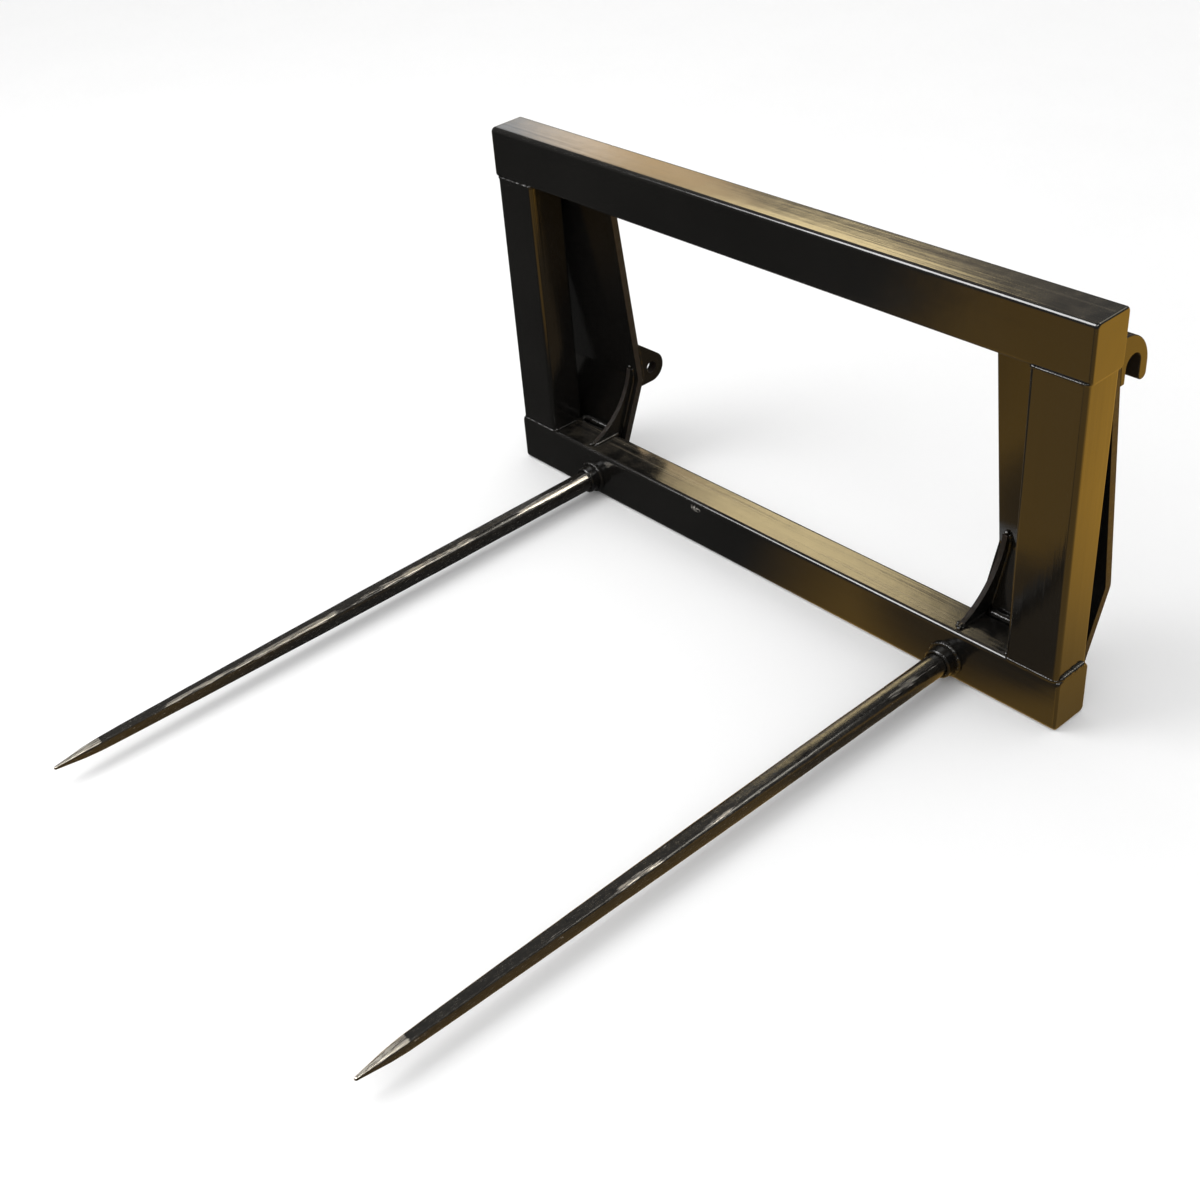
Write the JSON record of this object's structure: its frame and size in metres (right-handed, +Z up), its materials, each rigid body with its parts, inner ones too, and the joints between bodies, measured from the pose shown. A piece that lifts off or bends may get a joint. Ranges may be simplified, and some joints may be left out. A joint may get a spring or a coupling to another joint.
{
  "type": "bale spike attachment",
  "caption": "Bale spike for a front loader: welded box-section headstock with bent hitch plates, hooks, pin lugs and forged tines held in sleeves.",
  "frame": {"origin": "centre of the overall length and width, on the plane of the bottom beam's underside", "axes": "+Z up, +Y towards the loader, so the tines point along -Y; +X is to the right as seen from the tines"},
  "size_m": [1.34, 1.4605, 0.74],
  "materials": {
    "black_enamel": "gloss",
    "tine_steel": "semi-gloss, worn to bare steel",
    "plated_steel": "zinc plated"
  },
  "bodies": {
    "root": {"top_beam": "black_enamel", "bottom_beam": "black_enamel", "left_upright": "black_enamel", "left_top_cap": "black_enamel", "left_bottom_cap": "black_enamel", "left_hitch_plate": "black_enamel", "left_gusset": "black_enamel", "left_pin_lug": "black_enamel", "left_hook": "black_enamel", "left_tine_sleeve": "black_enamel", "left_tine": "tine_steel", "left_tine_washer": "plated_steel", "left_tine_nut": "plated_steel", "right_upright": "black_enamel", "right_top_cap": "black_enamel", "right_bottom_cap": "black_enamel", "right_hitch_plate": "black_enamel", "right_gusset": "black_enamel", "right_pin_lug": "black_enamel", "right_hook": "black_enamel", "right_tine_sleeve": "black_enamel", "right_tine": "tine_steel", "right_tine_washer": "plated_steel", "right_tine_nut": "plated_steel"}
  },
  "joints": []
}
